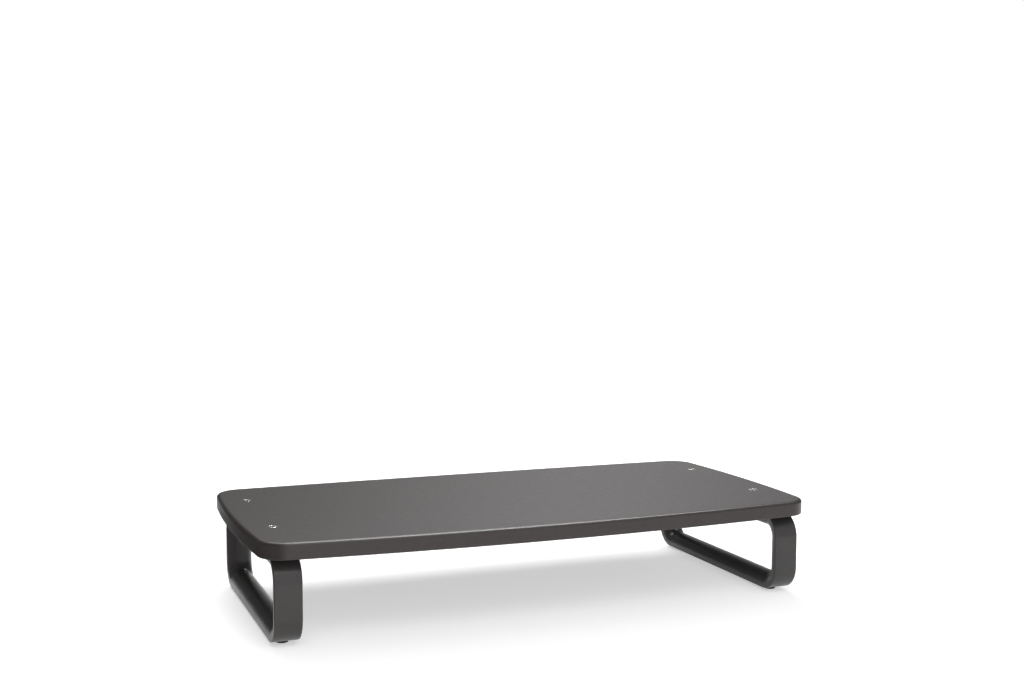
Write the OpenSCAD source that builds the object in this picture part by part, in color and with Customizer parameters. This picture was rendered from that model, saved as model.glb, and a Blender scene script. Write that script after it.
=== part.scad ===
// Extra wide monitor riser: a wrapped board on two closed loop legs.
// Millimetres, +Z up, +X to the user's right, +Y away from the user.
// The origin is on the desk top, under the middle of the object.

/* [Board] */
// Width across the middle of the bowed sides
board_w = 600; // [500:1:700]
// Depth across the middle of the bowed front and rear edges
board_d = 298; // [240:1:340]
// Thickness with its foil and its backing sheet
board_t = 16; // [12:0.5:22]
// Radius of the plan corners
corner_r = 27; // [15:1:40]
// How far the front edge bulges forward of its corners
front_bow = 16; // [4:0.5:24]
// How far the rear edge bulges
rear_bow = 4; // [2:0.5:12]
// How far each side edge bulges
side_bow = 8; // [2:0.5:14]
// Radius of the upper edge
top_round = 3.6; // [2:0.2:5]
// Thickness of the wrapped foil
foil_t = 0.4; // [0.3:0.1:0.6]

/* [Legs] */
// Height from the desk to the underside of the board
clear_h = 87; // [70:1:130]
// Distance of each leg's centre line from the middle
leg_x = 270; // [220:1:275]
// Front face of the leg, in front of the middle
leg_front = 128; // [110:1:130]
// Rear face of the leg, behind the middle
leg_rear = 132; // [110:1:135]
// Width of the half-round tube
tube_w = 27; // [24:1:32]
// Straight part of the tube's flanks, next to its flat face
tube_flank = 3; // [2.5:0.5:5]
// Wall of the tube
tube_wall = 1.8; // [1.5:0.1:2.2]
// Outer bend radius
bend_r = 26; // [25:1:36]

/* [Screws and feet] */
// Front screws, in front of the middle
screw_front = 60; // [50:1:80]
// Rear screws, behind the middle
screw_rear = 78; // [60:1:90]
// Nominal diameter of the screws
screw_d = 4; // [4:0.5:5]
// Length of the screws, head included
screw_len = 25; // [22:1:26]
// Diameter of the ring that seats each screw head
cup_d = 9.4; // [9:0.2:11]
// Diameter of a foot
foot_d = 12; // [10:0.5:16]
// Height of a foot under the leg
foot_h = 3; // [2:0.5:5]
// Distance of each foot's centre from the end of its leg
foot_inset = 31; // [28:1:50]

/* [Hidden] */
$fn = 64;
top_z = clear_h + board_t;
half_w = board_w / 2;
half_d = board_d / 2;
bottom_round = 1;
backer_t = 0.4;
backer_inset = bottom_round + 0.2;
overcut = 1;

edge_r = 1;
leg_z0 = foot_h;
leg_run = leg_front + leg_rear - 2 * bend_r;
leg_rise = clear_h - foot_h - 2 * bend_r;

gap = 0.05;
head_d = 7.9;
head_angle_h = (head_d - screw_d) / 2;
rim_h = 0.3;
hex_key = 2.5;
hex_depth = 1.9;
nut_d = 6;
nut_len = 11;
collar_d = 8.6;
collar_h = 2.4;
neck_d = 6;
barb_d = 8;

// Each screw's place in plan: [side of the object, distance behind the middle]
screw_spots = [[-1, -screw_front], [-1, screw_rear], [1, -screw_front], [1, screw_rear]];
foot_front = -leg_front + foot_inset;
foot_rear = leg_rear - foot_inset;

// ---- Plan outline of the board: four shallow arcs joined by corner arcs ----

// Radius of an arc that bulges by bow over a chord of twice half
function bow_radius(half, bow) = (half * half + bow * bow) / (2 * bow);
function angle_of(v) = atan2(v.y, v.x);
function arc(c, r, a0, a1, n) = [for (i = [0:n]) let (a = a0 + (a1 - a0) * i / n) c + r * [cos(a), sin(a)]];
// The crossing of two circles that lies to the left of the way from a to b
function crossing(a, ra, b, rb) =
    let (d = norm(b - a), e = (b - a) / d, u = (ra * ra - rb * rb + d * d) / (2 * d))
    a + u * e + sqrt(ra * ra - u * u) * [-e.y, e.x];

front_r = bow_radius(half_w, front_bow);
rear_r = bow_radius(half_w, rear_bow);
side_r = bow_radius(half_d, side_bow);
front_c = [0, front_r - half_d];
rear_c = [0, half_d - rear_r];
side_c = [half_w - side_r, 0];
// Centres of the two right-hand corner arcs
front_corner = crossing(front_c, front_r - corner_r, side_c, side_r - corner_r);
rear_corner = crossing(side_c, side_r - corner_r, rear_c, rear_r - corner_r);

// The right half of the outline, moved inwards by inset, from front middle to rear middle
function half_outline(inset) =
    let (a1 = angle_of(front_corner - front_c), a2 = angle_of(front_corner - side_c),
         a3 = angle_of(rear_corner - side_c), a4 = angle_of(rear_corner - rear_c))
    concat(
        arc(front_c, front_r - inset, -90, a1, 12),
        arc(front_corner, corner_r - inset, a1, a2, 10),
        arc(side_c, side_r - inset, a2, a3, 8),
        arc(rear_corner, corner_r - inset, a3, a4, 10),
        arc(rear_c, rear_r - inset, a4, 90, 8));
function flip(points) = [for (i = [len(points) - 1:-1:0]) [-points[i].x, points[i].y]];
function outline(inset) = concat(half_outline(inset), flip(half_outline(inset)));

module slab(inset, z0, z1) {
    translate([0, 0, z0]) linear_extrude(z1 - z0) polygon(outline(inset));
}

// A board with a rounded upper edge and a small round below, shrunk by skin on all sides but its base
module board_shape(skin, z0) {
    z1 = top_z - skin;
    r = top_round - skin;
    low = max(z0, clear_h + bottom_round);
    hull() {
        slab(skin, low, z1 - r);
        slab(skin + r * (1 - cos(30)), low, z1 - r * (1 - sin(30)));
        slab(skin + r * (1 - cos(60)), low, z1 - r * (1 - sin(60)));
        slab(skin + r, z0, z1);
        slab(skin + bottom_round, z0, low);
    }
}

module at_screws() {
    for (s = screw_spots) translate([s.x * leg_x, s.y, 0]) children();
}

module countersink(extra) {
    cone_h = (cup_d - nut_d) / 2;
    translate([0, 0, top_z - rim_h]) cylinder(d = cup_d + 2 * extra, h = rim_h + overcut);
    translate([0, 0, top_z - rim_h - cone_h])
        cylinder(d1 = nut_d + 2 * extra, d2 = cup_d + 2 * extra, h = cone_h);
    translate([0, 0, clear_h - overcut]) cylinder(d = nut_d + 2 * extra, h = board_t);
}

module board_core() {
    color("saddlebrown") difference() {
        board_shape(foil_t, clear_h + backer_t);
        at_screws() countersink(gap);
    }
}

module board_foil() {
    color("dimgray") difference() {
        board_shape(0, clear_h);
        board_shape(foil_t, clear_h + backer_t);
        slab(backer_inset, clear_h - overcut, clear_h + backer_t + gap);
        at_screws() countersink(gap);
    }
}

module board_backer() {
    color("black") difference() {
        slab(backer_inset, clear_h, clear_h + backer_t);
        at_screws() cylinder(d = nut_d + 2 * gap, h = top_z);
    }
}

// ---- Loop legs: half-round tube bent into a closed rounded rectangle ----

// Half-round section shrunk by wall. x runs inwards from the flat outer face, y across the tube
module half_round(wall) {
    r = tube_w / 2 - wall;
    translate([wall, -r]) square([tube_flank - wall, 2 * r]);
    intersection() {
        translate([tube_flank, 0]) circle(r);
        translate([tube_flank, -r]) square([r, 2 * r]);
    }
}

// The tube's section: a half-round wall, rounded along both edges of its flat face
module tube_section() {
    difference() {
        intersection() {
            half_round(0);
            union() {
                translate([edge_r, -tube_w / 2]) square(tube_w);
                translate([0, edge_r - tube_w / 2]) square([tube_w, tube_w - 2 * edge_r]);
                for (side = [-1, 1]) translate([edge_r, side * (tube_w / 2 - edge_r)]) circle(edge_r);
            }
        }
        half_round(tube_wall);
    }
}

// The closed loop, drawn with its path in the XY plane and then stood up along Y
module loop() {
    lengths = [leg_run, leg_rise, leg_run, leg_rise];
    starts = [[-leg_front + bend_r, leg_z0], [leg_rear, leg_z0 + bend_r],
        [leg_rear - bend_r, clear_h], [-leg_front, clear_h - bend_r]];
    centres = [[leg_rear - bend_r, leg_z0 + bend_r], [leg_rear - bend_r, clear_h - bend_r],
        [-leg_front + bend_r, clear_h - bend_r], [-leg_front + bend_r, leg_z0 + bend_r]];
    rotate([90, 0, 90]) for (i = [0:3]) {
        translate(starts[i]) rotate(90 * i) rotate([90, 0, 90]) linear_extrude(lengths[i]) tube_section();
        translate(centres[i]) rotate(90 * i - 90) rotate_extrude(angle = 90)
            translate([bend_r, 0]) mirror([1, 0]) tube_section();
    }
}

module leg_loop() {
    color("darkslategray") difference() {
        loop();
        for (y = [-screw_front, screw_rear]) translate([0, y, clear_h - tube_wall - overcut])
            cylinder(d = nut_d + 2 * gap, h = tube_wall + 2 * overcut);
        for (y = [foot_front, foot_rear]) translate([0, y, leg_z0 - overcut])
            cylinder(d = neck_d + 2 * gap, h = tube_wall + 2 * overcut);
    }
}

// ---- Fasteners and feet ----

module at(side, y) {
    translate([side * leg_x, y, 0]) children();
}

// Countersunk screw with a hexagon socket, its head flush in the cup
module screw() {
    cone_z = top_z - rim_h - head_angle_h;
    color("darkgray") difference() {
        union() {
            translate([0, 0, top_z - screw_len]) cylinder(d = screw_d, h = cone_z - top_z + screw_len);
            translate([0, 0, cone_z]) cylinder(d1 = screw_d, d2 = head_d, h = head_angle_h);
            translate([0, 0, top_z - rim_h]) cylinder(d = head_d, h = rim_h);
        }
        translate([0, 0, top_z - hex_depth])
            cylinder(r = hex_key / sqrt(3), h = hex_depth + overcut, $fn = 6);
    }
}

// Countersunk ring that spreads the head's load in the soft board
module screw_cup() {
    cone_h = (cup_d - nut_d) / 2;
    color("silver") difference() {
        union() {
            translate([0, 0, top_z - rim_h]) cylinder(d = cup_d, h = rim_h);
            translate([0, 0, top_z - rim_h - cone_h]) cylinder(d1 = nut_d, d2 = cup_d, h = cone_h);
        }
        translate([0, 0, top_z - rim_h]) cylinder(d = head_d + 2 * gap, h = rim_h + overcut);
        translate([0, 0, top_z - rim_h - head_angle_h])
            cylinder(d1 = screw_d + 2 * gap, d2 = head_d + 2 * gap, h = head_angle_h);
        cylinder(d = screw_d + 2 * gap, h = top_z);
    }
}

// Blind rivet nut, set in the tube's flat wall with its collar drawn up inside
module rivet_nut() {
    color("lightgray") difference() {
        union() {
            translate([0, 0, clear_h - nut_len]) cylinder(d = nut_d, h = nut_len);
            translate([0, 0, clear_h - tube_wall - collar_h]) cylinder(d = collar_d, h = collar_h);
        }
        translate([0, 0, clear_h - nut_len - overcut])
            cylinder(d = screw_d + 2 * gap, h = nut_len + 2 * overcut);
    }
}

// Push-in rubber foot: a low pad, a neck through the tube wall and a barb inside
module foot() {
    chamfer = 0.8;
    barb_h = 2.5;
    color("black") {
        cylinder(d1 = foot_d - 2 * chamfer, d2 = foot_d, h = chamfer);
        translate([0, 0, chamfer]) cylinder(d = foot_d, h = foot_h - chamfer);
        translate([0, 0, foot_h]) cylinder(d = neck_d, h = tube_wall);
        translate([0, 0, foot_h + tube_wall]) cylinder(d1 = barb_d, d2 = neck_d - 1, h = barb_h);
    }
}

board_core();
board_foil();
board_backer();
at(-1, 0) leg_loop();  // left_leg_loop
at(1, 0) leg_loop();  // right_leg_loop
at(-1, -screw_front) screw();  // screw_front_left
at(-1, screw_rear) screw();  // screw_rear_left
at(1, -screw_front) screw();  // screw_front_right
at(1, screw_rear) screw();  // screw_rear_right
at(-1, -screw_front) screw_cup();  // cup_front_left
at(-1, screw_rear) screw_cup();  // cup_rear_left
at(1, -screw_front) screw_cup();  // cup_front_right
at(1, screw_rear) screw_cup();  // cup_rear_right
at(-1, -screw_front) rivet_nut();  // rivet_nut_front_left
at(-1, screw_rear) rivet_nut();  // rivet_nut_rear_left
at(1, -screw_front) rivet_nut();  // rivet_nut_front_right
at(1, screw_rear) rivet_nut();  // rivet_nut_rear_right
at(-1, foot_front) foot();  // foot_front_left
at(-1, foot_rear) foot();  // foot_rear_left
at(1, foot_front) foot();  // foot_front_right
at(1, foot_rear) foot();  // foot_rear_right
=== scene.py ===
"""Extra wide monitor riser: a foil-wrapped board with bowed edges on two closed loop legs of half-round tube.

Metres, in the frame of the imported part: +X to the user's right, +Y away from the user, +Z up.
"""

from math import atan2, cos, pi, radians, sin, sqrt

import bmesh
import bpy
from mathutils import Matrix, Vector
from mathutils.geometry import delaunay_2d_cdt


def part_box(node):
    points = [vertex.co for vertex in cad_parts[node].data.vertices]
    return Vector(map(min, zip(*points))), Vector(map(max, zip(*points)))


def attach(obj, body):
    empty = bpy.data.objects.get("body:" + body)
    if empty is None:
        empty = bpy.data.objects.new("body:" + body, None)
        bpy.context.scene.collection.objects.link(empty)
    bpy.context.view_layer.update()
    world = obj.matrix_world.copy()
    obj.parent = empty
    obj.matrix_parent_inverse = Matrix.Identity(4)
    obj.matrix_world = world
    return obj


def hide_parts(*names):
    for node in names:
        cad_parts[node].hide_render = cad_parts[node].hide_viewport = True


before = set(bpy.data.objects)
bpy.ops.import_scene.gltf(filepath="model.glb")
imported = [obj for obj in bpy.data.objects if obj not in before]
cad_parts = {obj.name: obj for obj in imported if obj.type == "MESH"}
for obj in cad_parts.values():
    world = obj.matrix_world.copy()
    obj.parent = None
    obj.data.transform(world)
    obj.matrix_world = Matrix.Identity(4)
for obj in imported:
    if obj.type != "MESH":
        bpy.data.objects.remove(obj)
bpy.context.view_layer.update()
MM = 0.001

# ---- Sizes: read from the frame, with the few that a box can't give ----

board_lo, board_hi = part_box("board_foil")
BOARD_W = board_hi.x - board_lo.x
BOARD_D = board_hi.y - board_lo.y
BOARD_BASE, BOARD_TOP = board_lo.z, board_hi.z
CORNER_R = 27 * MM
FRONT_BOW, REAR_BOW, SIDE_BOW = 16 * MM, 4 * MM, 8 * MM
TOP_ROUND, BASE_ROUND = 3.6 * MM, 1 * MM
FOIL_T = 0.4 * MM
LIP_INSET = 1.2 * MM

TUBE_FLANK, TUBE_EDGE_R, TUBE_WALL = 3 * MM, 1 * MM, 1.8 * MM
BEND_R = 26 * MM
DRILL_R, DRILL_REACH = 3.05 * MM, 2.6 * MM

CUP_R = 4.7 * MM
HEAD_R = 3.95 * MM
SHANK_R = 2 * MM
RIM_H = 0.3 * MM
HEX_KEY, HEX_DEPTH, HEX_MOUTH_R = 2.5 * MM, 1.9 * MM, 1.62 * MM

PAD_H, PAD_ROUND, PAD_TOP_ROUND = 3 * MM, 0.7 * MM, 0.3 * MM
RECESS_H = 0.5 * MM
NECK_R, BARB_R = 3 * MM, 4 * MM

PLACES = ("front_left", "rear_left", "front_right", "rear_right")
SIDES = ("left", "right")

# Strips beside the curves, which keep the shading of flat faces even
BOARD_MARGIN, SECTION_MARGIN, LOOP_MARGIN = 0.4 * MM, 0.3 * MM, 0.6 * MM

# How finely curves are cut
FRONT_STEPS, SIDE_STEPS, CORNER_STEPS = 60, 30, 28
TOP_ROUND_STEPS, BASE_ROUND_STEPS = 12, 5
BEND_STEPS = 30
FLANK_STEPS_OUT, FLANK_STEPS_IN = 22, 16
HOLE_STEPS, DRILL_STEPS = 64, 48
SCREW_STEPS, CUP_STEPS, FOOT_STEPS = 48, 72, 56


def middle(node):
    """The middle of a node."""
    lo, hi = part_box(node)
    return (lo + hi) / 2


# ---- Mesh helpers ----

SHARP_ANGLE = radians(40)


def add(name, data):
    """Makes an object and puts it in the scene."""
    thing = bpy.data.objects.new(name, data)
    bpy.context.scene.collection.objects.link(thing)
    return thing


def new_piece(name, mesh, node, material):
    """Adds a finished piece, smooth, riding on the one body and standing for its CAD node."""
    mesh.validate()
    mesh.shade_smooth()
    mesh.set_sharp_from_angle(angle=SHARP_ANGLE)
    mesh.materials.append(material)
    piece = add(name, mesh)
    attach(piece, "root")
    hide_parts(node)
    return piece


def mesh_of(name, points, faces):
    """A mesh with its faces turned outwards."""
    mesh = bpy.data.meshes.new(name)
    mesh.from_pydata(points, [], faces)
    work = bmesh.new()
    work.from_mesh(mesh)
    bmesh.ops.recalc_face_normals(work, faces=work.faces)
    work.to_mesh(mesh)
    work.free()
    return mesh


class Builder:
    """Gathers points and faces. A ring is a list of point indices that closes on itself."""

    def __init__(self):
        self.points, self.faces = [], []

    def ring(self, points):
        start = len(self.points)
        self.points += [tuple(p) for p in points]
        return list(range(start, len(self.points)))

    def band(self, a, b):
        """Quads between two rings of the same count."""
        n = len(a)
        self.faces += [(a[i], a[(i + 1) % n], b[(i + 1) % n], b[i]) for i in range(n)]

    def stack(self, rings, closed=False):
        """Bands from each ring to the next, and from the last to the first where closed."""
        for a, b in zip(rings, rings[1:]):
            self.band(a, b)
        if closed:
            self.band(rings[-1], rings[0])

    def cap(self, ring, centre):
        """A fan from a ring to a point."""
        tip = len(self.points)
        self.points.append(tuple(centre))
        n = len(ring)
        self.faces += [(ring[i], ring[(i + 1) % n], tip) for i in range(n)]

    def fill(self, border, holes):
        """A flat sheet inside one ring and outside the round holes, all at one height.

        A triangle with all its corners on one hole would lie in the hole, so it is left out.
        """
        rings = [border] + holes
        used = [i for ring in rings for i in ring]
        owner = [number for number, ring in enumerate(rings) for _ in ring]
        edges, start = [], 0
        for ring in rings:
            n = len(ring)
            edges += [(start + i, start + (i + 1) % n) for i in range(n)]
            start += n
        flat = [Vector(self.points[i][:2]) for i in used]
        inside_edges, merge_distance = 1, 1e-7
        _, _, faces, origin, _, _ = delaunay_2d_cdt(flat, edges, [], inside_edges, merge_distance)
        for face in faces:
            corners = [origin[i][0] for i in face]
            owners = {owner[i] for i in corners}
            if 0 in owners or len(owners) > 1:
                self.faces.append(tuple(used[i] for i in corners))

    def mesh(self, name):
        return mesh_of(name, self.points, self.faces)


def circle(centre, radius, z, count):
    """Points round a circle. The radius may be a number or a function of the angle."""
    turn = [2 * pi * i / count for i in range(count)]
    size = radius if callable(radius) else lambda angle: radius
    return [(centre[0] + size(t) * cos(t), centre[1] + size(t) * sin(t), z) for t in turn]


def arc(cx, cz, r, start, end, count):
    """Points (x, z) along part of a circle, both ends included, angles in degrees."""
    step = (end - start) / count
    turns = [radians(start + step * i) for i in range(count + 1)]
    return [(cx + r * cos(t), cz + r * sin(t)) for t in turns]


# ---- Board ----


def bow_radius(half, bow):
    """Radius of an arc that bulges by bow over a chord of twice half."""
    return (half * half + bow * bow) / (2 * bow)


def crossing(a, ra, b, rb):
    """The crossing of two circles that lies to the left of the way from a to b."""
    way = b - a
    d = way.length
    e = way / d
    u = (ra * ra - rb * rb + d * d) / (2 * d)
    return a + u * e + sqrt(ra * ra - u * u) * Vector((-e.y, e.x))


def outline(inset):
    """The board's plan outline moved inwards: four shallow arcs joined by corner arcs."""
    half_w, half_d = BOARD_W / 2, BOARD_D / 2
    front_r, rear_r = bow_radius(half_w, FRONT_BOW), bow_radius(half_w, REAR_BOW)
    side_r = bow_radius(half_d, SIDE_BOW)
    front = Vector((0, front_r - half_d))
    rear = Vector((0, half_d - rear_r))
    side = Vector((half_w - side_r, 0))
    near = crossing(front, front_r - CORNER_R, side, side_r - CORNER_R)
    far = crossing(side, side_r - CORNER_R, rear, rear_r - CORNER_R)
    joints = (near - front, near - side, far - side, far - rear)
    turns = [-pi / 2] + [atan2(way.y, way.x) for way in joints] + [pi / 2]
    arcs = (
        (front, front_r, FRONT_STEPS),
        (near, CORNER_R, CORNER_STEPS),
        (side, side_r, SIDE_STEPS),
        (far, CORNER_R, CORNER_STEPS),
        (rear, rear_r, FRONT_STEPS),
    )
    half = []
    for (centre, radius, count), start, end in zip(arcs, turns, turns[1:]):
        for i in range(count):
            t = start + (end - start) * i / count
            half.append(centre + (radius - inset) * Vector((cos(t), sin(t))))
    half.append(Vector((0, half_d - inset)))
    return half + [Vector((-p.x, p.y)) for p in reversed(half[1:-1])]


def foil_side(t):
    """One skin's (inset, z) from the lip below to just inside the upper edge, moved inwards by t."""
    lower_z, upper_z = BOARD_BASE + BASE_ROUND, BOARD_TOP - TOP_ROUND
    lip = [(LIP_INSET, BOARD_BASE + t)]
    base = arc(BASE_ROUND, lower_z, BASE_ROUND - t, 270, 180, BASE_ROUND_STEPS)
    wall = [(t, lower_z + BOARD_MARGIN), (t, upper_z - BOARD_MARGIN)]
    top = arc(TOP_ROUND, upper_z, TOP_ROUND - t, 180, 90, TOP_ROUND_STEPS)
    inside = [(TOP_ROUND + BOARD_MARGIN, BOARD_TOP - t)]
    return lip + base + wall + top + inside


def board_skin(material):
    """The foil as a closed shell: an outer and an inner skin, a lip below and four countersunk holes."""
    work = Builder()
    outer, inner = [
        [work.ring([(p.x, p.y, z) for p in outline(inset)]) for inset, z in foil_side(t)] for t in (0, FOIL_T)
    ]
    work.stack(outer)
    work.stack(inner)
    work.band(outer[0], inner[0])

    hole_r, edge = CUP_R + 0.05 * MM, 0.12 * MM
    undercut, bevel = 0.1 * MM, edge * 0.3
    profile = (
        (hole_r + edge + BOARD_MARGIN, BOARD_TOP),
        (hole_r + edge, BOARD_TOP),
        (hole_r + bevel, BOARD_TOP - bevel),
        (hole_r, BOARD_TOP - edge),
        (hole_r - undercut, BOARD_TOP - FOIL_T),
    )
    top_holes, base_holes = [], []
    for place in PLACES:
        centre = middle("screw_" + place)
        rings = [work.ring(circle(centre, r, z, HOLE_STEPS)) for r, z in profile]
        work.stack(rings)
        top_holes.append(rings[0])
        base_holes.append(rings[-1])
    work.fill(outer[-1], top_holes)
    work.fill(inner[-1], base_holes)
    new_piece("foil_skin", work.mesh("foil_skin"), "board_foil", material)


# ---- Legs ----


def both_sides(side):
    """A tube section from its upper half, as (inwards, across)."""
    return side + [(a, -b) for a, b in reversed(side[:-1])]


def tube_outer(width):
    """Section of the tube's outside: flat face, rounded edges, flanks and half circle."""
    half, edge = width / 2, TUBE_EDGE_R
    face = [(0, half - edge - SECTION_MARGIN)]
    corner = arc(edge, half - edge, edge, 180, 90, 6)
    flank = [(TUBE_FLANK - SECTION_MARGIN, half)]
    return both_sides(face + corner + flank + arc(TUBE_FLANK, 0, half, 90, 0, FLANK_STEPS_OUT))


def tube_inner(width):
    """Section of the tube's inside, one wall further in."""
    half = width / 2 - TUBE_WALL
    return both_sides([(TUBE_WALL, half)] + arc(TUBE_FLANK, 0, half, 90, 0, FLANK_STEPS_IN))


def loop_path(lo, hi):
    """Stations round the loop as (y, z, inward y, inward z), on the tube's flat outer face."""
    steps = [(0, -LOOP_MARGIN)] + [(i, 0) for i in range(BEND_STEPS + 1)] + [(BEND_STEPS, LOOP_MARGIN)]
    bends = (
        (hi.y - BEND_R, lo.z + BEND_R, -90),
        (hi.y - BEND_R, hi.z - BEND_R, 0),
        (lo.y + BEND_R, hi.z - BEND_R, 90),
        (lo.y + BEND_R, lo.z + BEND_R, 180),
    )
    stations = []
    for cy, cz, start in bends:
        for i, along in steps:
            t = radians(start + 90 * i / BEND_STEPS)
            y = cy + BEND_R * cos(t) - along * sin(t)
            z = cz + BEND_R * sin(t) + along * cos(t)
            stations.append((y, z, -cos(t), -sin(t)))
    return stations


def drill_out(piece, drill):
    """Cuts the drill's solids out of a piece for good."""
    cutter = add("drill", drill.mesh("drill"))
    cut = piece.modifiers.new("drill", "BOOLEAN")
    cut.operation, cut.solver, cut.object = "DIFFERENCE", "EXACT", cutter
    bpy.context.view_layer.update()
    drilled = bpy.data.meshes.new_from_object(piece.evaluated_get(bpy.context.evaluated_depsgraph_get()))
    piece.modifiers.clear()
    piece.data = drilled
    bpy.data.objects.remove(cutter)


def leg(side, material):
    """Hollow half-round tube bent into a loop, drilled for its rivet nuts and feet."""
    node = side + "_leg_loop"
    lo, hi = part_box(node)
    x, width = (lo.x + hi.x) / 2, hi.x - lo.x
    path = loop_path(lo, hi)
    work = Builder()
    for section in (tube_outer(width), tube_inner(width)):
        rings = [work.ring([(x + b, y + a * ny, z + a * nz) for a, b in section]) for y, z, ny, nz in path]
        work.stack(rings, closed=True)
    piece = new_piece(side + "_leg", work.mesh(side + "_leg"), node, material)

    drill = Builder()
    for end in ("front_", "rear_"):
        for kind, z in (("rivet_nut_", hi.z), ("foot_", lo.z)):
            centre = middle(kind + end + side)
            heights = (z - DRILL_REACH, z + DRILL_REACH)
            rings = [drill.ring(circle(centre, DRILL_R, h, DRILL_STEPS)) for h in heights]
            drill.stack(rings)
            for ring, h in zip(rings, heights):
                drill.cap(ring, (centre.x, centre.y, h))
    drill_out(piece, drill)


# ---- Fasteners and feet ----


def turned(name, node, profile, material, count, ends=()):
    """A turned piece from a profile of (radius, z), centred on a CAD node.

    The ends are the heights that close a solid piece below and above. Without them it is a ring.
    """
    work = Builder()
    centre = middle(node)
    rings = [work.ring(circle(centre, r, z, count)) for r, z in profile]
    work.stack(rings, closed=not ends)
    for ring, z in zip((rings[0], rings[-1]), ends):
        work.cap(ring, (centre.x, centre.y, z))
    new_piece(name, work.mesh(name), node, material)


def hexagon(angle):
    """Radius of the hexagon socket at an angle."""
    return HEX_KEY / 2 / cos((angle + pi / 6) % (pi / 3) - pi / 6)


def hexagon_mouth(angle):
    """Radius part of the way down the chamfer from the socket's round mouth to its hexagon."""
    return 0.35 * HEX_MOUTH_R + 0.65 * hexagon(angle)


def screw(place, material):
    """Countersunk socket screw: a head with a rolled edge, a chamfered hexagon and a drilled bottom."""
    node = "screw_" + place
    lo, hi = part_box(node)
    top, tip = hi.z, lo.z
    cone_z = top - RIM_H - (HEAD_R - SHANK_R)
    chamfer, point_h = 0.5 * MM, 0.4 * MM
    shank = [
        (SHANK_R - chamfer, tip),
        (SHANK_R, tip + chamfer),
        (SHANK_R, cone_z - 0.3 * MM),
    ]
    cone = [
        (SHANK_R + 0.1 * MM, cone_z + 0.05 * MM),
        (HEAD_R - 0.08 * MM, top - RIM_H - 0.06 * MM),
    ]
    rolled_edge = [
        (HEAD_R, top - RIM_H),
        (HEAD_R, top - 0.14 * MM),
        (HEAD_R - 0.05 * MM, top - 0.04 * MM),
        (HEAD_R - 0.15 * MM, top),
    ]
    face = [
        (HEAD_R - 0.3 * MM, top),
        (HEX_MOUTH_R + 0.13 * MM, top),
        (HEX_MOUTH_R, top),
    ]
    socket = [
        (hexagon_mouth, top - 0.08 * MM),
        (hexagon, top - 0.25 * MM),
        (hexagon, top - HEX_DEPTH + point_h),
    ]
    profile = shank + cone + rolled_edge + face + socket
    ends = (tip, top - HEX_DEPTH)
    turned(node + "_body", node, profile, material, SCREW_STEPS, ends)


def cup(place, material):
    """Pressed ring with a rolled lip, a cone for the head and a matching cone outside."""
    node = "cup_" + place
    lo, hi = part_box(node)
    top, base = hi.z, lo.z
    bore = SHANK_R + 0.1 * MM
    seat = HEAD_R + 0.05 * MM
    lip_r = 0.4 * (CUP_R - seat) / 2
    outer_cone = [(bore, base), (bore + 0.7 * MM, base), (CUP_R - 0.03 * MM, top - RIM_H)]
    lip_outside = arc(CUP_R - lip_r, top - lip_r, lip_r, 0, 90, 6)
    lip_inside = arc(seat + lip_r, top - lip_r, lip_r, 90, 180, 6)
    inner_cone = [(seat, top - RIM_H), (seat - 0.1 * MM, top - RIM_H - 0.1 * MM)]
    profile = outer_cone + lip_outside + lip_inside + inner_cone
    turned(node + "_ring", node, profile, material, CUP_STEPS)


def foot(place, material):
    """Moulded rubber foot: a rounded pad with a suction recess below, a neck and a barb."""
    node = "foot_" + place
    lo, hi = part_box(node)
    radius = (hi.x - lo.x) / 2
    base, tip = lo.z, hi.z
    pad_z, wall_z = base + PAD_H, base + PAD_H + TUBE_WALL
    recess = [
        (radius - 3.2 * MM, base + RECESS_H),
        (radius - 2.7 * MM, base + 0.35 * MM),
        (radius - 2.2 * MM, base + 0.05 * MM),
    ]
    sole = [(radius - 1.9 * MM, base), (radius - PAD_ROUND - 0.4 * MM, base)]
    lower_edge = arc(radius - PAD_ROUND, base + PAD_ROUND, PAD_ROUND, 270, 360, 6)
    wall = [(radius, base + 1.2 * MM)]
    upper_edge = arc(radius - PAD_TOP_ROUND, pad_z - PAD_TOP_ROUND, PAD_TOP_ROUND, 0, 90, 3)
    neck = [(NECK_R + 0.2 * MM, pad_z), (NECK_R, pad_z + 0.1 * MM), (NECK_R, wall_z)]
    barb = [
        (BARB_R - 0.1 * MM, wall_z),
        (BARB_R, wall_z + 0.2 * MM),
        (NECK_R - 0.4 * MM, tip - 0.2 * MM),
        (NECK_R - 0.8 * MM, tip),
    ]
    profile = recess + sole + lower_edge + wall + upper_edge + neck + barb
    ends = (base + RECESS_H, tip)
    turned(node + "_rubber", node, profile, material, FOOT_STEPS, ends)


# ---- Materials ----


def grey(value):
    return (value, value, value)


# Each finish varies between two close colours
VINYL = (0.035, 0.028, 0.0275), (0.040, 0.032, 0.0315)
COAT = (0.039, 0.0365, 0.0355), (0.045, 0.042, 0.041)
NICKEL = (0.80, 0.78, 0.74), (0.86, 0.84, 0.80)
BLACK_OXIDE = (0.085, 0.083, 0.08), (0.13, 0.127, 0.122)
ZINC = (0.46, 0.46, 0.47), (0.58, 0.58, 0.60)
FIBREBOARD = (0.26, 0.17, 0.10), (0.36, 0.25, 0.16)
RUBBER = grey(0.012), grey(0.018)
BACKING = grey(0.020), grey(0.028)
WHITE_TABLE = grey(0.895), grey(0.905)
DARK_CARD = grey(0.06), grey(0.08)

NOISE_LOW, NOISE_HIGH = 0.3, 0.7


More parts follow.
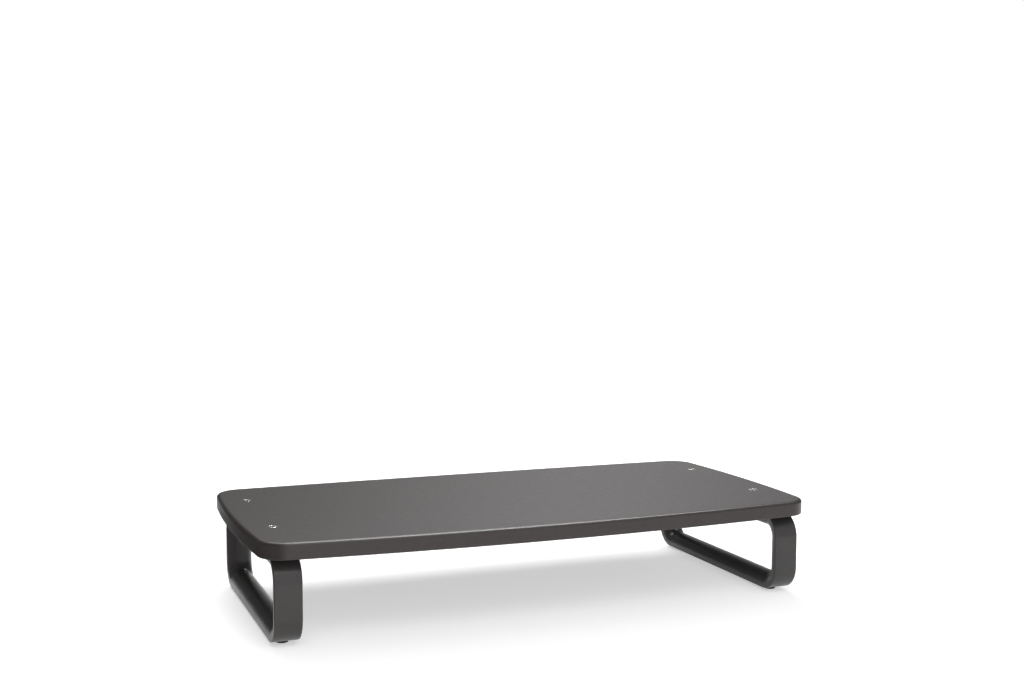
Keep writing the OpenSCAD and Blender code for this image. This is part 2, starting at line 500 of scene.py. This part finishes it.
class Nodes:
    """A material with one Principled shader and short ways to wire textures into it."""

    def __init__(self, name, roughness, metallic=0.0, specular=0.5):
        self.material = bpy.data.materials.new(name)
        self.material.use_nodes = True
        self.tree = self.material.node_tree
        self.shader = self.tree.nodes["Principled BSDF"]
        self.shader.inputs["Roughness"].default_value = roughness
        self.shader.inputs["Metallic"].default_value = metallic
        self.shader.inputs["Specular IOR Level"].default_value = specular
        self.place = self.tree.nodes.new("ShaderNodeTexCoord").outputs["Object"]

    def link(self, source, node, socket):
        self.tree.links.new(source, node.inputs[socket])

    def noise(self, size, detail, stretch=(1, 1, 1)):
        """Noise with features of about size metres, drawn out along an axis where stretch is above 1."""
        mapping = self.tree.nodes.new("ShaderNodeMapping")
        mapping.inputs["Scale"].default_value = [1 / (size * s) for s in stretch]
        texture = self.tree.nodes.new("ShaderNodeTexNoise")
        texture.inputs["Scale"].default_value = 1.0
        texture.inputs["Detail"].default_value = detail
        self.link(self.place, mapping, "Vector")
        self.link(mapping.outputs["Vector"], texture, "Vector")
        return texture.outputs["Fac"]

    def cells(self, size):
        """Rounded cells of about size metres."""
        texture = self.tree.nodes.new("ShaderNodeTexVoronoi")
        texture.feature = "SMOOTH_F1"
        texture.inputs["Scale"].default_value = 1 / size
        self.link(self.place, texture, "Vector")
        return texture.outputs["Distance"]

    def spread(self, source, low, high):
        """Maps a noise value from its usual range to low..high."""
        node = self.tree.nodes.new("ShaderNodeMapRange")
        node.inputs["From Min"].default_value = NOISE_LOW
        node.inputs["From Max"].default_value = NOISE_HIGH
        node.inputs["To Min"].default_value = low
        node.inputs["To Max"].default_value = high
        self.link(source, node, "Value")
        return node.outputs["Result"]

    def colour(self, source, ends):
        """Blends two colours by a noise value into the base colour."""
        node = self.tree.nodes.new("ShaderNodeMix")
        node.data_type = "RGBA"
        for socket, end in zip("AB", ends):
            node.inputs[socket].default_value = (*end, 1)
        self.link(self.spread(source, 0, 1), node, "Factor")
        self.link(node.outputs["Result"], self.shader, "Base Color")

    def roughness(self, source, low, high):
        """Varies the roughness by a noise value."""
        self.link(self.spread(source, low, high), self.shader, "Roughness")

    def bumps(self, *layers):
        """Stacks bump layers of (height source, depth in metres)."""
        last = None
        for source, depth in layers:
            node = self.tree.nodes.new("ShaderNodeBump")
            node.inputs["Distance"].default_value = depth
            node.inputs["Strength"].default_value = 1.0
            self.link(source, node, "Height")
            if last:
                self.link(last, node, "Normal")
            last = node.outputs["Normal"]
        self.link(last, self.shader, "Normal")


def foil_material():
    """Charcoal vinyl: fine pebbled grain, satin, with faint cloudy differences in gloss."""
    m = Nodes("charcoal_vinyl", 0.37, specular=0.38)
    m.colour(m.noise(4 * MM, 3), VINYL)
    m.roughness(m.noise(6 * MM, 5), 0.34, 0.38)
    m.bumps((m.cells(0.9 * MM), 0.05 * MM), (m.noise(0.3 * MM, 3), 0.02 * MM))
    return m.material


def powder_coat():
    """Satin powder coat with a fine orange peel."""
    m = Nodes("charcoal_powder_coat", 0.3, specular=0.34)
    m.colour(m.noise(1.2 * MM, 3), COAT)
    m.roughness(m.noise(20 * MM, 3), 0.28, 0.33)
    m.bumps((m.noise(1.1 * MM, 1), 0.009 * MM))
    return m.material


def rubber():
    """Matt black rubber with a moulded, slightly dusty skin."""
    m = Nodes("black_rubber", 0.75, specular=0.35)
    m.colour(m.noise(2 * MM, 3), RUBBER)
    m.roughness(m.noise(1 * MM, 3), 0.68, 0.84)
    m.bumps((m.noise(0.5 * MM, 3), 0.03 * MM))
    return m.material


def nickel():
    """Bright nickel plate with small differences in polish."""
    m = Nodes("nickel_plate", 0.2, metallic=1.0)
    m.colour(m.noise(2 * MM, 2), NICKEL)
    m.roughness(m.noise(1 * MM, 3), 0.14, 0.28)
    m.bumps((m.noise(0.4 * MM, 2), 0.004 * MM))
    return m.material


def black_oxide():
    """Black-oxide steel, dark and satin."""
    m = Nodes("black_oxide_steel", 0.4, metallic=1.0)
    m.colour(m.noise(1.5 * MM, 3), BLACK_OXIDE)
    m.roughness(m.noise(0.8 * MM, 3), 0.32, 0.5)
    m.bumps((m.noise(0.3 * MM, 2), 0.006 * MM))
    return m.material


def zinc():
    """Zinc-plated steel, pale and slightly cloudy."""
    m = Nodes("zinc_plate", 0.35, metallic=1.0)
    m.colour(m.noise(1.5 * MM, 3), ZINC)
    m.roughness(m.noise(1 * MM, 3), 0.28, 0.45)
    m.bumps((m.noise(0.4 * MM, 2), 0.006 * MM))
    return m.material


def backing():
    """Matt black backing sheet with a faint paper texture drawn out along the board."""
    m = Nodes("backing_sheet", 0.7)
    m.colour(m.noise(3 * MM, 4), BACKING)
    m.roughness(m.noise(10 * MM, 3), 0.6, 0.75)
    m.bumps((m.noise(0.6 * MM, 4, stretch=(4, 1, 1)), 0.03 * MM))
    return m.material


def fibreboard():
    """Raw fibreboard: pale brown with short, pressed fibres."""
    m = Nodes("fibreboard", 0.9)
    m.colour(m.noise(1.5 * MM, 5, stretch=(2, 2, 0.5)), FIBREBOARD)
    m.roughness(m.noise(2 * MM, 3), 0.85, 0.95)
    m.bumps((m.noise(0.8 * MM, 4), 0.05 * MM))
    return m.material


def repaint(material, *nodes):
    """Gives carried-over CAD nodes a finished material."""
    for node in nodes:
        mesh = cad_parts[node].data
        mesh.materials.clear()
        mesh.materials.append(material)


# ---- Studio ----

FLOOR_HALF, FLOOR_GLOW = 1.5, 0.5
ROOM_LIGHT = 0.1
# Soft patches of light: yaw from +Y towards +X, height (both in degrees), tightness, strength
ROOM_PATCHES = (
    (26, 10, 60, 0.8),
    (135, 30, 8, 0.45),
    (180, 20, 8, 1.4),
    (0, 80, 4, 0.6),
)
# Soft boxes: name, place, target, size, watts, whether it only makes highlights
SOFTBOXES = (
    ("front_box", (-0.3, -1.2, 1.4), (0, 0, 0), (1.2, 0.7), 5, False),
    ("top_box", (0.1, 0.9, 1.4), (0.1, 0, 0), (1.4, 0.7), 20, False),
    ("edge_strip", (0.45, 0.0, 1.5), (0.45, 0, 0), (1.2, 0.3), 40, True),
)
CARD_X, CARD_FRONT, CARD_REAR, CARD_H = -0.33, -0.35, 1.1, 0.5
CAMERA_PLACE = (-0.52065, -1.30501, 0.37980)
CAMERA_YAW, CAMERA_PITCH, CAMERA_ROLL = radians(21.8405), radians(4.258), radians(0.237)
LENS_MM, SENSOR_MM, CLIP_START = 45.98, 36, 0.05


def stage_sheet(name, corners, material):
    """A flat sheet that belongs to the studio, not to the object."""
    mesh = mesh_of(name, corners, [(0, 1, 2, 3)])
    mesh.materials.append(material)
    sheet = add(name, mesh)
    return sheet


def studio_floor():
    """A plain white table top. It glows a little, as a lit shooting table does, so its edges don't show."""
    m = Nodes("white_floor", 0.9, specular=0.1)
    m.colour(m.noise(0.5, 2), WHITE_TABLE)
    m.shader.inputs["Emission Color"].default_value = (1, 1, 1, 1)
    m.shader.inputs["Emission Strength"].default_value = FLOOR_GLOW
    half = FLOOR_HALF
    corners = [(-half, -half, 0), (half, -half, 0), (half, half, 0), (-half, half, 0)]
    stage_sheet("studio_floor", corners, m.material)


def dark_flag():
    """A dark card beside the left end, as photographers use. Only reflections see it."""
    m = Nodes("dark_card", 0.9, specular=0.1)
    m.colour(m.noise(0.05, 2), DARK_CARD)
    front, rear = (CARD_X, CARD_FRONT), (CARD_X, CARD_REAR)
    corners = [(*front, 0), (*rear, 0), (*rear, CARD_H), (*front, CARD_H)]
    flag = stage_sheet("dark_flag", corners, m.material)
    flag.visible_camera = flag.visible_diffuse = flag.visible_shadow = flag.visible_transmission = False


def softbox(name, place, target, size, watts, edges_only):
    """A rectangular area light that faces target and isn't seen itself. edges_only keeps it to highlights."""
    light = bpy.data.lights.new(name, "AREA")
    light.shape = "RECTANGLE"
    light.size, light.size_y = size
    light.energy = watts
    box = add(name, light)
    box.location = place
    box.rotation_euler = (Vector(target) - Vector(place)).to_track_quat("-Z", "Y").to_euler()
    box.visible_camera = False
    box.visible_diffuse = not edges_only


def studio_room():
    """A dim room with soft bright patches on its walls. The camera sees plain white behind the object."""
    world = bpy.data.worlds.new("studio")
    bpy.context.scene.world = world
    world.use_nodes = True
    tree = world.node_tree
    background = tree.nodes["Background"]
    background.inputs["Color"].default_value = (1, 1, 1, 1)
    direction = tree.nodes.new("ShaderNodeTexCoord").outputs["Generated"]

    def maths(operation, *inputs):
        """A Math node with numbers or other nodes' outputs as its inputs."""
        node = tree.nodes.new("ShaderNodeMath")
        node.operation = operation
        for socket, value in zip(node.inputs, inputs):
            if isinstance(value, (int, float)):
                socket.default_value = value
            else:
                tree.links.new(value, socket)
        return node.outputs["Value"]

    total = ROOM_LIGHT
    for yaw, height, tightness, strength in ROOM_PATCHES:
        turn, tilt = radians(yaw), radians(height)
        toward = tree.nodes.new("ShaderNodeVectorMath")
        toward.operation = "DOT_PRODUCT"
        tree.links.new(direction, toward.inputs[0])
        toward.inputs[1].default_value = (sin(turn) * cos(tilt), cos(turn) * cos(tilt), sin(tilt))
        off = maths("SUBTRACT", toward.outputs["Value"], 1)
        falloff = maths("EXPONENT", maths("MULTIPLY", off, tightness))
        total = maths("ADD", total, maths("MULTIPLY", falloff, strength))
    seen = tree.nodes.new("ShaderNodeLightPath").outputs["Is Camera Ray"]
    tree.links.new(maths("MAXIMUM", total, seen), background.inputs["Strength"])


def camera():
    """Stands left of the middle and a little above the board, looking slightly down."""
    lens = bpy.data.cameras.new("camera")
    lens.sensor_width = SENSOR_MM
    lens.lens = LENS_MM
    lens.clip_start = CLIP_START
    yaw = Matrix.Rotation(-CAMERA_YAW, 4, "Z")
    pitch = Matrix.Rotation(pi / 2 - CAMERA_PITCH, 4, "X")
    roll = Matrix.Rotation(CAMERA_ROLL, 4, "Z")
    view = add("camera", lens)
    view.matrix_world = Matrix.Translation(CAMERA_PLACE) @ yaw @ pitch @ roll
    bpy.context.scene.camera = view


# ---- The scene ----

camera()
studio_floor()
studio_room()
dark_flag()
for box in SOFTBOXES:
    softbox(*box)
bpy.context.scene.view_settings.view_transform = "Standard"

vinyl, coat = foil_material(), powder_coat()
steel, ring_metal, foot_rubber = black_oxide(), nickel(), rubber()

board_skin(vinyl)
for side in SIDES:
    leg(side, coat)
for place in PLACES:
    screw(place, steel)
    cup(place, ring_metal)
    foot(place, foot_rubber)
repaint(fibreboard(), "board_core")
repaint(backing(), "board_backer")
repaint(zinc(), *["rivet_nut_" + place for place in PLACES])
